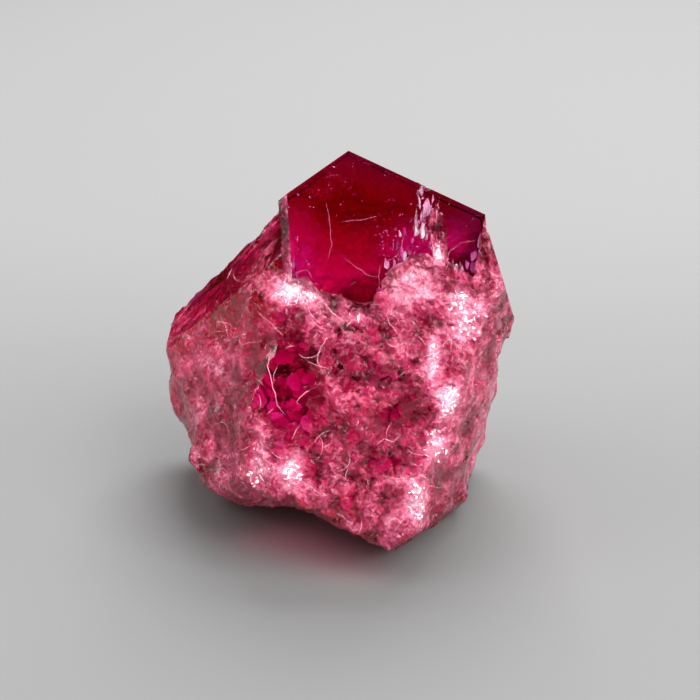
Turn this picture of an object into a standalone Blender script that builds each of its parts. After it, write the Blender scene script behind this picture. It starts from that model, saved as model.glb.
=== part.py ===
"""A red beryl crystal: one solid, broken from its rock, with a clear six-sided crystal at its top.

Everything is worked out in the crystal's own frame: +Z is the crystal's long axis and points out of
its flat end face, +X is to the right of that face and +Y runs up it. The finished solid is then leaned
back so that it lies as it rests, +Z up, with the middle of its foot at the origin.
Lengths are written in millimetres and turned into metres by MM where a shape is made.
"""

import math

import bmesh
import bpy
from mathutils import Matrix, Vector, noise

MM = 0.001

# How the piece lies.
LEAN_BACK = math.radians(22.0)  # from upright, so the end face looks up at 22 degrees
FOOT_BELOW_CENTRE = 5.24  # from the end face's centre down to the surface it rests on, along the face
FOOT_BEHIND_CENTRE = 2.75  # from the end face's centre back to the middle of the foot, along the surface
DEPTH = 6.2  # from the end face back to the broken back

# Six-sided crystals keep 60 degrees between their side faces, whatever their sizes.
HEXAGON_STEP = 60.0
GEM_FIRST_FACE = 5.0  # the turn of the clear crystal's first side face from +X, in degrees
GEM_FACE_DISTANCES = (2.93, 3.60, 3.285, 1.17, 1.60, 2.60)  # from the axis, anticlockwise
GEM_DEPTH = 3.4
STEP_DROPS = (0.42, 0.42, 0.42, 0.42, 1.20, 1.60)  # how far the step behind it lies inside those faces
STEP_FRONT = -0.9
STEP_DEPTH = 4.6
BODY_FIRST_FACE = 17.0
BODY_FACE_DISTANCES = (3.33, 2.92, 2.27, 4.30, 5.20, 5.20)
BODY_FACE_TIPS = (4.5, 0.0, 11.0, 0.0, 0.0, 0.0)  # how far each body face flares towards the back, degrees
BODY_FRONT = 0.6  # the body's blank reaches this far in front of the clear crystal's end face
BODY_BACK = 7.1  # and this far behind it, before the back is broken off

FINE_GRID = 0.18  # the spacing of points on the broken surfaces in front
COARSE_GRID = 0.30  # and on those at the back and underneath
WELD = 0.004


def clear_scene():
    for thing in list(bpy.data.objects):
        bpy.data.objects.remove(thing, do_unlink=True)


def collection_named(name, hidden=False):
    made = bpy.data.collections.new(name)
    made.hide_render = hidden
    bpy.context.scene.collection.children.link(made)
    return made


def object_from(name, mesh_data, collection):
    bmesh.ops.recalc_face_normals(mesh_data, faces=mesh_data.faces)
    mesh = bpy.data.meshes.new(name)
    mesh_data.to_mesh(mesh)
    mesh_data.free()
    made = bpy.data.objects.new(name, mesh)
    collection.objects.link(made)
    return made


def side_normal(degrees, towards_viewer=0.0):
    """A direction square to the crystal's axis, tipped towards the viewer by so many degrees."""
    turn, tip = math.radians(degrees), math.radians(towards_viewer)
    return Vector((math.cos(turn) * math.cos(tip), math.sin(turn) * math.cos(tip), math.sin(tip)))


def cut_flat(mesh, normal, distance):
    """Cuts a mesh along a plane so many millimetres from the origin, and closes it with one flat face."""
    everything = mesh.verts[:] + mesh.edges[:] + mesh.faces[:]
    cut = bmesh.ops.bisect_plane(
        mesh,
        geom=everything,
        dist=1e-7,
        plane_co=normal * distance * MM,
        plane_no=normal,
        clear_outer=True,
    )
    rim = [piece for piece in cut["geom_cut"] if isinstance(piece, bmesh.types.BMEdge)]
    if rim:
        bmesh.ops.contextual_create(mesh, geom=rim)


def hexagonal_prism(name, first_face, distances, front, back, collection, tips=(0.0,) * 6, extra=()):
    """A crystal with six side faces, each at its own distance from the axis, and any extra small faces."""
    mesh = bmesh.new()
    bmesh.ops.create_cube(mesh, size=2 * 8.0 * MM)
    cut_flat(mesh, Vector((0, 0, 1)), front)
    cut_flat(mesh, Vector((0, 0, -1)), back)
    for index, (distance, tip) in enumerate(zip(distances, tips)):
        cut_flat(mesh, side_normal(first_face + index * HEXAGON_STEP, tip), distance)
    for normal, distance in extra:
        cut_flat(mesh, normal, distance)
    return object_from(name, mesh, collection)


def scallops(u, v, width, depth, seed):
    """Shell-shaped hollows that meet in sharp ribs, as where glassy stone breaks."""
    near = noise.voronoi(Vector((u / width, v / width, seed)))[0][0]
    return depth * (2.0 * near * near - 0.6)


def lumps(u, v, width, depth, seed):
    return depth * noise.fractal(Vector((u / width, v / width, seed)), 0.6, 2.1, 3)


def smooth_step(value, start, end):
    share = min(1.0, max(0.0, (value - start) / (end - start)))
    return share * share * (3.0 - 2.0 * share)


def wandered(u, v, step):
    """A grid point moved a little off its place, so that no rows show in the broken surface."""
    shift_u = noise.noise(Vector((u * 7.3, v * 7.3, 0.5)))
    shift_v = noise.noise(Vector((u * 7.3, v * 7.3, 40.5)))
    return u + 0.55 * step * shift_u, v + 0.55 * step * shift_v


def fracture_block(name, through, normal, height, collection, step, half_width=5.6):
    """A cutter whose working side is a broken surface: a grid raised by height(u, v) along normal.

    through is a point on the surface in millimetres, normal points out of the stone, u runs level
    across the surface and v up it.
    """
    normal = normal.normalized()
    up = Vector((0, 0, 1)) if abs(normal.y) > 0.8 else Vector((0, 1, 0))
    across = up.cross(normal).normalized()
    along = normal.cross(across)
    mesh = bmesh.new()
    cells = round(2 * half_width / step)
    bmesh.ops.create_grid(mesh, x_segments=cells, y_segments=cells, size=half_width)
    for vert in mesh.verts:
        u, v = wandered(vert.co.x, vert.co.y, step)
        vert.co = (through + across * u + along * v + normal * height(u, v)) * MM
    bmesh.ops.triangulate(mesh, faces=mesh.faces, quad_method="SHORT_EDGE")
    grown = bmesh.ops.extrude_face_region(mesh, geom=mesh.faces[:])["geom"]
    far = (through + normal * half_width) * MM
    for vert in grown:
        if isinstance(vert, bmesh.types.BMVert):
            vert.co += normal * (far - vert.co).dot(normal)
    return object_from(name, mesh, collection)


def chip_block(name, centre, radii, turn, collection, roughness=0.22, fineness=3):
    """A cutter for a hollow where a flake has sprung off: a lumpy ball, turned about the crystal's axis."""
    mesh = bmesh.new()
    bmesh.ops.create_icosphere(mesh, subdivisions=fineness, radius=1.0)
    spin = Matrix.Rotation(math.radians(turn), 3, "Z")
    for vert in mesh.verts:
        swell = 1.0 + roughness * noise.fractal(vert.co * 1.7 + centre, 0.7, 2.0, 3)
        vert.co = (centre + spin @ Vector(a * b * swell for a, b in zip(vert.co, radii))) * MM
    return object_from(name, mesh, collection)


def in_fixed_order(mesh):
    """The same mesh with its points and faces sorted, because a cut leaves them in no fixed order."""
    points = sorted(mesh.vertices, key=lambda point: point.co[:])
    place = {point.index: index for index, point in enumerate(points)}
    faces = []
    for face in mesh.polygons:
        corners = [place[index] for index in face.vertices]
        first = corners.index(min(corners))
        faces.append(corners[first:] + corners[:first])
    ordered = bpy.data.meshes.new(mesh.name)
    ordered.from_pydata([point.co for point in points], [], sorted(faces))
    return ordered


def boolean(target, other, operation):
    """Joins or cuts target by other, and keeps the result as target's own mesh."""
    modifier = target.modifiers.new(operation.lower(), "BOOLEAN")
    modifier.operation = operation
    modifier.solver = "EXACT"
    modifier.object = other
    bpy.context.view_layer.update()
    graph = bpy.context.evaluated_depsgraph_get()
    mesh = bpy.data.meshes.new_from_object(target.evaluated_get(graph))
    target.modifiers.clear()
    target.data = in_fixed_order(mesh)


# The broken surfaces. Each height is in millimetres, out of the stone.


def front_height(u, v):
    """Below the clear crystal: nearly flat, fullest in its middle, falling away at its foot."""
    bulge = 0.26 * math.exp(-((u - 0.2) ** 2 / 3.0 + (v + 0.5) ** 2 / 4.5))
    hollow = -0.22 * math.exp(-((u - 1.1) ** 2 + (v + 2.2) ** 2) / 0.5)
    falling_foot = -0.30 * smooth_step(-v, 2.6, 4.2)
    return bulge + hollow + falling_foot + lumps(u, v, 1.3, 0.12, 3.7) + scallops(u, v, 0.62, 0.055, 8.1)


def left_height(u, v):
    cups = scallops(u, v, 0.95, 0.20, 2.3) + scallops(u, v, 0.45, 0.05, 6.3)
    return cups + lumps(u, v, 1.5, 0.20, 5.9)


def left_edge_height(u, v):
    return scallops(u, v, 1.2, 0.12, 5.2) + lumps(u, v, 1.3, 0.15, 3.3)


def lower_left_height(u, v):
    return scallops(u, v, 1.0, 0.12, 4.4) + lumps(u, v, 1.3, 0.16, 1.9)


def right_height(u, v):
    return scallops(u, v, 1.1, 0.13, 6.6) + lumps(u, v, 1.4, 0.16, 9.2)


def right_edge_height(u, v):
    return scallops(u, v, 1.3, 0.12, 7.9) + lumps(u, v, 1.2, 0.12, 4.6)


def underside_height(u, v):
    """Slopes down to the tip at its right, and keeps a lobe at its far left."""
    lobe = 0.58 * smooth_step(-u, 0.4, 2.2) * smooth_step(-v, -1.0, 1.0)
    return lobe + scallops(u, v, 0.8, 0.07, 7.7) + lumps(u, v, 0.8, 0.12, 2.8)


def back_height(u, v):
    rounding = -0.045 * (u * u + v * v)
    ledge = 0.35 * smooth_step(0.5 * u - v + 0.4 * noise.noise(Vector((u, v, 2.0))), -0.15, 0.15)
    return rounding + ledge + scallops(u, v, 1.5, 0.28, 12.4) + lumps(u, v, 1.8, 0.28, 3.1)


def gem_foot_height(u, v):
    return lumps(u, v, 0.6, 0.12, 14.2) + scallops(u, v, 0.5, 0.06, 5.5)


def gem_back_height(u, v):
    return lumps(u, v, 1.1, 0.18, 21.4) + scallops(u, v, 1.0, 0.12, 9.5)


def beryl_material():
    """Deep raspberry red, see-through where it is clear."""
    material = bpy.data.materials.new("red_beryl")
    material.use_nodes = True
    shader = material.node_tree.nodes["Principled BSDF"]
    shader.inputs["Base Color"].default_value = (0.60, 0.04, 0.13, 1.0)
    shader.inputs["Metallic"].default_value = 0.0
    shader.inputs["Roughness"].default_value = 0.22
    shader.inputs["IOR"].default_value = 1.57
    shader.inputs["Transmission Weight"].default_value = 0.7
    return material


def body_of_stone(parts, cutters):
    """The larger crystal, with most of its faces broken away."""
    body = hexagonal_prism(
        "red_beryl_crystal",
        BODY_FIRST_FACE,
        BODY_FACE_DISTANCES,
        BODY_FRONT,
        BODY_BACK,
        parts,
        BODY_FACE_TIPS,
    )
    breaks = [
        ("front_break", Vector((0.0, 0.0, -0.20)), Vector((0.0, 0.0, 1.0)), front_height, FINE_GRID),
        ("left_break", Vector((-2.70, -0.5, -1.5)), side_normal(180.0, 33.0), left_height, 0.21),
        ("left_edge_break", Vector((-3.95, 0.0, -3.6)), side_normal(181.0, 4.0), left_edge_height, COARSE_GRID),
        ("left_foot_break", Vector((-3.20, -2.7, -3.6)), side_normal(203.0, 3.0), lower_left_height, COARSE_GRID),
        ("right_break", Vector((2.91, -1.0, -2.3)), side_normal(-20.3, 20.0), right_height, 0.24),
        ("right_edge_break", Vector((3.02, -1.0, -3.6)), side_normal(-14.5, 4.4), right_edge_height, COARSE_GRID),
        ("right_foot_break", Vector((1.75, -3.77, -3.6)), side_normal(-57.0, 5.0), right_edge_height, COARSE_GRID),
        ("under_break", Vector((-0.4, -3.50, -1.2)), side_normal(244.5, 2.0), underside_height, 0.22),
        ("back_break", Vector((0.0, 0.0, -DEPTH)), Vector((0.10, 0.22, -1.0)), back_height, COARSE_GRID),
    ]
    for name, through, normal, height, step in breaks:
        boolean(body, fracture_block(name, through, normal, height, cutters, step), "DIFFERENCE")
    chips = [
        ("right_notch", Vector((3.30, -0.10, -2.2)), (0.30, 0.42, 0.9), 0.0),
        ("bottom_notch", Vector((-1.22, -3.12, -0.2)), (0.20, 0.22, 0.7), 0.0),
    ]
    for name, centre, radii, turn in chips:
        boolean(body, chip_block(name, centre, radii, turn, cutters), "DIFFERENCE")
    return body


def clear_crystal(cutters):
    """The clear hexagonal crystal that stands out of the top of the stone."""
    left_bevel = (side_normal(184.0, 45.0), 0.74)
    corner_face = (side_normal(143.0, 20.0), 2.725)
    gem = hexagonal_prism(
        "clear_crystal", GEM_FIRST_FACE, GEM_FACE_DISTANCES, 0.0, GEM_DEPTH, cutters, extra=(left_bevel, corner_face)
    )
    breaks = [
        ("gem_foot_break", Vector((0.0, 0.95, 0.0)), side_normal(243.5, 38.0), gem_foot_height, FINE_GRID),
        ("gem_side_break", Vector((1.6, 1.08, 0.0)), side_normal(278.0, 38.0), gem_foot_height, FINE_GRID),
        ("gem_back_break", Vector((0.6, 3.3, -2.3)), Vector((0.15, 0.8, -0.6)), gem_back_height, COARSE_GRID),
    ]
    for name, through, normal, height, step in breaks:
        boolean(gem, fracture_block(name, through, normal, height, cutters, step), "DIFFERENCE")
    chips = [
        ("crumbled_corner", Vector((1.75, 0.85, 0.12)), (1.00, 0.62, 0.42), 8.0, 0.30),
        ("crumbled_side", Vector((1.30, 1.45, 0.14)), (0.62, 0.50, 0.36), 35.0, 0.30),
        ("groove_from_notch", Vector((1.78, 2.25, 0.10)), (0.17, 0.72, 0.26), 9.0, 0.35),
        ("right_corner_chip", Vector((2.95, 0.85, 0.05)), (0.42, 0.42, 0.5), 0.0, 0.25),
        ("edge_notch", Vector((1.56, 3.30, 0.02)), (0.10, 0.14, 0.16), -20.0, 0.2),
    ]
    for name, centre, radii, turn, roughness in chips:
        boolean(gem, chip_block(name, centre, radii, turn, cutters, roughness), "DIFFERENCE")
    return gem


def growth_step(cutters):
    """A second, lower crystal in step behind the clear one, which shows from above and from behind."""
    distances = [distance - drop for distance, drop in zip(GEM_FACE_DISTANCES, STEP_DROPS)]
    step = hexagonal_prism("growth_step", GEM_FIRST_FACE, distances, STEP_FRONT, STEP_DEPTH, cutters)
    back = fracture_block(
        "step_back_break", Vector((0.6, 3.0, -4.0)), Vector((-0.25, 0.6, -0.8)), gem_back_height, cutters, COARSE_GRID
    )
    boolean(step, back, "DIFFERENCE")
    return step


def tidy(stone):
    """Welds what the cuts left closer than a few micrometres and turns every face outwards."""
    mesh = bmesh.new()
    mesh.from_mesh(stone.data)
    bmesh.ops.triangulate(mesh, faces=mesh.faces)
    bmesh.ops.remove_doubles(mesh, verts=mesh.verts, dist=WELD * MM)
    bmesh.ops.dissolve_degenerate(mesh, edges=mesh.edges, dist=WELD * MM)
    bmesh.ops.triangulate(mesh, faces=mesh.faces)
    bmesh.ops.recalc_face_normals(mesh, faces=mesh.faces)
    mesh.to_mesh(stone.data)
    mesh.free()


def foot_height(u, v):
    """Under the stone: a flat patch in the middle that it rests on, and rising rough stone round it."""
    return 0.16 - 0.05 * (u * u + v * v) + lumps(u, v, 0.9, 0.09, 17.3) + scallops(u, v, 0.9, 0.07, 11.5)


def lean_and_stand(stone, cutters):
    """Leans the crystal back, breaks its underside and cuts a flat patch where it rests."""
    height = FOOT_BELOW_CENTRE * math.cos(LEAN_BACK)
    lean = Matrix.Rotation(math.radians(90.0) - LEAN_BACK, 4, "X")
    stone.data.transform(Matrix.Translation((0, -FOOT_BEHIND_CENTRE * MM, height * MM)) @ lean)
    foot = fracture_block("foot_break", Vector((0, 0, 0)), Vector((0, 0, -1)), foot_height, cutters, 0.34)
    boolean(stone, foot, "DIFFERENCE")
    mesh = bmesh.new()
    mesh.from_mesh(stone.data)
    cut_flat(mesh, Vector((0, 0, -1)), 0.0)
    mesh.to_mesh(stone.data)
    mesh.free()


def main():
    clear_scene()
    parts = collection_named("red_beryl_crystal")
    cutters = collection_named("cutters", hidden=True)
    stone = body_of_stone(parts, cutters)
    boolean(stone, growth_step(cutters), "UNION")
    boolean(stone, clear_crystal(cutters), "UNION")
    lean_and_stand(stone, cutters)
    tidy(stone)
    stone.data.materials.clear()
    stone.data.materials.append(beryl_material())
    for cutter in cutters.objects:
        cutter.hide_render = True
        cutter.display_type = "WIRE"
    print("triangles", len(stone.data.polygons))


main()
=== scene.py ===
# %% [markdown]
# # A red beryl crystal
#
# Red beryl grows as six-sided columns. This piece is a small fragment: a clear, dark red crystal end stands
# out of a larger body whose other faces have broken away. The clear part is like glass, and it takes its
# colour from the length of stone that light crosses. The broken part is the same stone full of fine cracks,
# which throw the light back early, so it looks pink and frosted.
#
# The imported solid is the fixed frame. It has the facets, ledges and size, and everything made here keeps
# to it.

import math
import random

import bmesh
import bpy
from mathutils import Matrix, Quaternion, Vector, noise
from mathutils.bvhtree import BVHTree


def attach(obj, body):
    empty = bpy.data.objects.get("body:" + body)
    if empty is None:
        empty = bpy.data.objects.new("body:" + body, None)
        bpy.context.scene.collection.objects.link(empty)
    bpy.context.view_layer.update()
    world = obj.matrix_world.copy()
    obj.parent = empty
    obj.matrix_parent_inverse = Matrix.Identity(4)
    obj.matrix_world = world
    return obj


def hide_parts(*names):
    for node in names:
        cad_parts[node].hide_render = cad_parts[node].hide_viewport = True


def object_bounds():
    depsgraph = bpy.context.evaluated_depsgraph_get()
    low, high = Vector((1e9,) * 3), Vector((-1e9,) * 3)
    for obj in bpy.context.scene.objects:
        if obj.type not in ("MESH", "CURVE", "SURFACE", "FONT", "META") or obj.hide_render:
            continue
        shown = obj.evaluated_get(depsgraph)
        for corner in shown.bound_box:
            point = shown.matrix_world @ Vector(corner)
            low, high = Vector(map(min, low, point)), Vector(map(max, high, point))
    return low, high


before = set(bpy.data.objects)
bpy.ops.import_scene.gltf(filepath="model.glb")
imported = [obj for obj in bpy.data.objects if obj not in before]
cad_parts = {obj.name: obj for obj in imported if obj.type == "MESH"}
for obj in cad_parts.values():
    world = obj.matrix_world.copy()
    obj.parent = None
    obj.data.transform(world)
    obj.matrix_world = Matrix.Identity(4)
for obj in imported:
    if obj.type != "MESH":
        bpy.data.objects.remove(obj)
cad_low, cad_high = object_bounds()
STONE_NODE = "red_beryl_crystal"
print("stone box in mm:", [round(1000 * side, 2) for side in cad_high - cad_low])

# %% [markdown]
# ## The crystal's own frame
#
# It is easier to think in the crystal's frame than in the room's: x runs across the flat end face, y up
# the face, and z out of it. The stone lies leaning back, so one matrix turns that frame into the room's.
# Lengths are in millimetres here and become metres at the very end.

# %% Set up the crystal's frame
MM = 0.001
LEAN_BACK = math.radians(22.0)
FOOT_BELOW_CENTRE = 5.24
FOOT_BEHIND_CENTRE = 2.75

end_face_height = FOOT_BELOW_CENTRE * math.cos(LEAN_BACK)
to_room = (
    Matrix.Scale(MM, 4)
    @ Matrix.Translation((0.0, -FOOT_BEHIND_CENTRE, end_face_height))
    @ Matrix.Rotation(math.radians(90.0) - LEAN_BACK, 4, "X")
)
to_crystal = to_room.inverted()
print("middle of the end face, in the room:", to_room @ Vector((0, 0, 0)))


def side_direction(degrees, towards_viewer=0.0):
    """A direction square to the crystal's axis, tipped towards the viewer by so many degrees."""
    turn, tip = math.radians(degrees), math.radians(towards_viewer)
    return Vector((math.cos(turn) * math.cos(tip), math.sin(turn) * math.cos(tip), math.sin(tip)))


# %% [markdown]
# ## Tell crystal faces from broken ones
#
# A crystal face is perfectly flat, and a broken face never is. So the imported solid's triangles are gathered
# into patches that lie in one plane: a large patch is a crystal face, and everything else is broken stone,
# which gets finer relief. Two flat patches on the left are dull on the real stone, so they count as broken.
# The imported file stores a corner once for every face, so corners at the same place are welded first.
# Patches are started in the mesh's own order, so every run finds the same ones.

# %% Copy the solid and find its flat faces
WELD_DISTANCE = 2e-7
FLAT_ANGLE = math.radians(0.4)
SAME_WAY = 0.999
SMALLEST_CRYSTAL_FACE = 0.30  # square millimetres
BROKEN, END_FACE, PRISM = 0, 1, 2
DULL_DIRECTIONS = (side_direction(137.0, 11.0), side_direction(184.0, 45.0))

stone_mesh = bmesh.new()
stone_mesh.from_mesh(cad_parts[STONE_NODE].data)
bmesh.ops.remove_doubles(stone_mesh, verts=stone_mesh.verts, dist=WELD_DISTANCE)
bmesh.ops.transform(stone_mesh, matrix=to_crystal, verts=stone_mesh.verts)
stone_mesh.normal_update()
foot_direction = (to_crystal.to_3x3() @ Vector((0, 0, -1))).normalized()


def flat_patches(mesh):
    """Lists of neighbouring faces that lie in one plane."""
    waiting = set(mesh.faces)
    patches = []
    for first in mesh.faces:
        if first not in waiting:
            continue
        waiting.discard(first)
        patch, rim = [first], [first]
        while rim:
            for edge in rim.pop().edges:
                for other in edge.link_faces:
                    if other in waiting and other.normal.angle(first.normal, math.pi) < FLAT_ANGLE:
                        waiting.discard(other)
                        patch.append(other)
                        rim.append(other)
        patches.append(patch)
    return patches


def kind_of_patch(patch):
    normal = patch[0].normal
    if sum(face.calc_area() for face in patch) < SMALLEST_CRYSTAL_FACE:
        return BROKEN
    if any(normal.dot(way) > SAME_WAY for way in (foot_direction, *DULL_DIRECTIONS)):
        return BROKEN
    return END_FACE if normal.z > SAME_WAY else PRISM


kinds_found = [0, 0, 0]
for patch in flat_patches(stone_mesh):
    kind = kind_of_patch(patch)
    kinds_found[kind] += 1
    for face in patch:
        face.material_index = kind
print("end faces:", kinds_found[END_FACE], "and prism faces:", kinds_found[PRISM])

# %% [markdown]
# ## Give the broken stone enough points
#
# Relief needs points to move. Splitting every edge that is too long, again and again, gives triangles of
# even size, finer in front and coarser behind. A subdivision modifier would split everything alike and
# round the crystal's sharp edges. Crystal faces need no points, so only edges of broken stone are split.

# %% Split the long edges of the broken stone
FINE_EDGE = 0.052
COARSE_EDGE = 0.105
BACK_OF_FINE = -2.6
SPLIT_ABOVE = 1.45  # of the wanted length
SPLITTING_ROUNDS = 6  # slivers never get shorter, so the rounds are counted


def is_long(edge):
    wanted = FINE_EDGE if edge.verts[0].co.z > BACK_OF_FINE else COARSE_EDGE
    return edge.calc_length() > SPLIT_ABOVE * wanted


def is_broken(edge_or_point):
    return any(face.material_index == BROKEN for face in edge_or_point.link_faces)


for _ in range(SPLITTING_ROUNDS):
    long_edges = [edge for edge in stone_mesh.edges if is_broken(edge) and is_long(edge)]
    bmesh.ops.subdivide_edges(stone_mesh, edges=long_edges, cuts=1)
    uneven = [face for face in stone_mesh.faces if len(face.verts) > 3]
    bmesh.ops.triangulate(stone_mesh, faces=uneven)
print("triangles after splitting:", len(stone_mesh.faces))

# %% [markdown]
# ## Where the stone is frosted
#
# The more cracks a spot has, the whiter it is. One number says how many: 0 is clear, and 1 is white and
# crumbly. It comes from named patches over a usual value, and it steers nearly everything below: the relief,
# the skin's haze, the depth of the first cracks, and the crumbs. Some patches take frost away, and a little
# noise keeps all of them from looking round. In the groove by the notch and low on the left ridge, patches
# raise the frost where the stone glints, so the whiter haze there is partly a painted highlight, beside real
# relief and crumbs. A painted map could say the same, but a short list can be read.

# %% Say how frosted each place is
USUAL_FROST = 0.38
FROST_UNREST = 0.10
FROST_CLOUD_WIDTH = 0.9
FROST_AND_HIGHLIGHT_PATCHES = [
    # middle (x, y), reach (x, y), amount
    # white and crumbly, upper right
    ((2.32, 0.70), (0.42, 0.55), 0.36),
    ((1.50, 1.15), (0.60, 0.35), 0.15),
    ((1.68, -0.10), (0.14, 0.50), 0.30),
    # the groove by the notch: its whiter frost is partly a painted highlight, beside real crumbs
    ((1.60, 2.55), (0.12, 0.25), 0.20),
    ((1.80, 1.95), (0.14, 0.28), 0.45),
    # down the right ridge
    ((1.98, -1.05), (0.28, 0.55), 0.42),
    ((1.72, -1.90), (0.30, 0.40), 0.44),
    ((1.36, -3.00), (0.25, 0.60), 0.42),
    ((0.60, -3.55), (0.80, 0.25), 0.15),
    # crumbs under the left corner of the clear window and along its lower edge
    ((-1.25, 1.20), (0.30, 0.35), 0.50),
    ((-0.75, 1.10), (0.35, 0.22), 0.32),
    ((0.10, 0.66), (0.50, 0.16), 0.22),
    ((0.95, 1.02), (0.35, 0.22), 0.15),
    ((1.15, 1.62), (0.45, 0.22), 0.26),
    ((2.35, 1.45), (0.45, 0.18), 0.15),
    # the left ridge and the spots low on it that glint: their whiter frost is partly a painted highlight
    ((-1.85, -1.60), (0.25, 0.60), 0.30),
    ((-1.15, -2.45), (0.28, 0.32), 0.45),
    ((-1.95, -2.60), (0.60, 0.50), 0.25),
    ((-2.60, -0.20), (0.35, 0.25), 0.20),
    # clear places
    ((-1.45, 2.50), (0.16, 0.80), -0.30),
    ((-1.38, -0.68), (0.55, 0.85), -0.80),
    ((0.95, -1.30), (0.30, 0.25), -0.40),
    ((2.20, 1.90), (0.40, 0.40), -0.25),
    ((-2.90, 1.50), (0.75, 0.90), -0.32),
    # milky right flank
    ((3.00, -1.20), (0.50, 1.60), 0.15),
]


def hill(x, y, middle, reach):
    """1 in the middle, and smoothly down to nothing beyond the reach."""
    return math.exp(-(((x - middle[0]) / reach[0]) ** 2) - ((y - middle[1]) / reach[1]) ** 2)


def rough_noise(place, width, octaves=3):
    """Noise with ever finer detail on it. Its largest bumps are about as wide as the width given."""
    return noise.fractal(place / width, 0.8, 2.0, octaves)


def frost_at(place):
    amount = USUAL_FROST + FROST_UNREST * rough_noise(place, FROST_CLOUD_WIDTH)
    for middle, reach, change in FROST_AND_HIGHLIGHT_PATCHES:
        amount += change * hill(place.x, place.y, middle, reach)
    return min(1.0, max(0.0, amount))


samples = [frost_at(Vector((x, y, 0.0))) for x, y in ((2.0, -1.0), (0.0, -1.0), (-1.4, -0.7))]
print("frost on the right ridge, in the middle and in the clear spot: %.2f, %.2f and %.2f" % tuple(samples))

# %% [markdown]
# ## Relief of the broken stone
#
# Glassy stone breaks in shells, flakes and small steps. Three sizes of relief make that: rounded hollows
# that meet in sharp ribs, small tilted flakes, and a fine grain. Clear places stay nearly smooth. A point on
# the rim of a crystal face slides within that face, so the face stays flat, and a point where two crystal
# faces meet stays put.
#
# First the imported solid's coarse facets are smoothed away. Only points of broken stone move, and the clear
# spots in front are smoothed much longer, so that they end up calm like a shell-shaped break in glass.

# %% Smooth the coarse facets
SOFTENING_ROUNDS = 3
CALM_ROUNDS = 50
CALM_FROST = 0.14


def planes_at(vert):
    """The different crystal faces that meet at a point."""
    planes = []
    for face in vert.link_faces:
        if face.material_index != BROKEN and all(face.normal.dot(known) < SAME_WAY for known in planes):
            planes.append(face.normal.copy())
    return planes


def soften(verts, rounds):
    for _ in range(rounds):
        bmesh.ops.smooth_vert(
            stone_mesh, verts=verts, factor=0.5, use_axis_x=True, use_axis_y=True, use_axis_z=True
        )


broken_points = [vert for vert in stone_mesh.verts if is_broken(vert)]
inner_points = [vert for vert in broken_points if not planes_at(vert)]
calm_points = [vert for vert in inner_points if vert.co.z > BACK_OF_FINE and frost_at(vert.co) < CALM_FROST]
soften(inner_points, SOFTENING_ROUNDS)
soften(calm_points, CALM_ROUNDS)
stone_mesh.normal_update()
print("points softened:", len(inner_points), "and kept calm:", len(calm_points))

# %% [markdown]
# Then every point moves along its normal by the sum of the three reliefs. A displacement texture would do
# it too, but here the crystal faces have to be left out point by point.

# %% Move the points out and in
SHELL_WIDTH = 0.42
SHELL_DEPTH = 0.040
LEFT_SHELL_DEPTH = 0.100
LEFT_OF = -1.6
FLAKE_WIDTH = 0.24
FLAKE_DEPTH = 0.060
GRAIN_WIDTH = 0.11
GRAIN_DEPTH = 0.026
USUAL_SHELL = 0.45  # taken off, so that shells go out as far as in
LEAST_RELIEF = 0.2  # of the full relief, where the stone is clear
RELIEF_PER_FROST = 2.0


def shells(place):
    """Rounded hollows, deepest in the middle of each cell."""
    return noise.voronoi(place / SHELL_WIDTH)[0][0] - USUAL_SHELL


def flakes(place):
    """A small flat step for each cell, tilted its own way. The fixed shifts only keep noises apart."""
    place = (place + Vector((3, 1, 7))) / FLAKE_WIDTH
    centre = Vector(noise.voronoi(place)[1][0])
    tilt = Vector([noise.noise(centre * 3.1 + Vector((9 * axis, 0, 0))) for axis in range(3)])
    return tilt.dot(place - centre) + 0.5 * tilt.x


def relief(place):
    """Millimetres out of the stone at a place on its broken skin."""
    liveliness = min(1.0, LEAST_RELIEF + RELIEF_PER_FROST * frost_at(place))
    return liveliness * (
        (LEFT_SHELL_DEPTH if place.x < LEFT_OF else SHELL_DEPTH) * shells(place)
        + FLAKE_DEPTH * flakes(place)
        + GRAIN_DEPTH * rough_noise(place, GRAIN_WIDTH)
    )


moves = {}
for vert in broken_points:
    planes = planes_at(vert)
    if len(planes) < 2:
        move = vert.normal * relief(vert.co)
        for plane in planes:
            move -= plane * move.dot(plane)
        moves[vert] = move
for vert, move in moves.items():
    vert.co += move
print("deepest relief in mm: %.3f" % max(move.length for move in moves.values()))

# %% Store the frost on the points, for the material
frost_layer = stone_mesh.verts.layers.float.new("frost")
for vert in stone_mesh.verts:
    vert[frost_layer] = frost_at(vert.co)
skin = BVHTree.FromBMesh(stone_mesh)
stored = [vert[frost_layer] for vert in stone_mesh.verts]
print("stored frost runs from %.2f to %.2f" % (min(stored), max(stored)))

# %% [markdown]
# ## The clear stone
#
# Clear beryl is plain glass with a refractive index of 1.57. Its surface has no colour: the red comes from
# a plain absorption inside, which takes green at once, blue next and red last. So a crack just under the
# skin looks pink, one a millimetre down magenta, and the heart of the crystal dark red, all from one value.
# A coloured glass surface would give one red everywhere.

# %% Make the node helpers
def new_material(name):
    material = bpy.data.materials.new(name)
    material.use_nodes = True
    return material, material.node_tree.nodes, material.node_tree.links


def texture_in_mm(nodes, links):
    """Object coordinates, counted in millimetres."""
    place = nodes.new("ShaderNodeTexCoord")
    scale = nodes.new("ShaderNodeVectorMath")
    scale.operation = "SCALE"
    scale.inputs["Scale"].default_value = 1.0 / MM
    links.new(place.outputs["Object"], scale.inputs[0])
    return scale.outputs["Vector"]


def noise_texture(nodes, links, place, size, detail, distortion=0.0):
    texture = nodes.new("ShaderNodeTexNoise")
    texture.inputs["Scale"].default_value = 1.0 / size
    texture.inputs["Detail"].default_value = detail
    texture.inputs["Distortion"].default_value = distortion
    links.new(place, texture.inputs["Vector"])
    return texture.outputs["Fac"]


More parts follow.
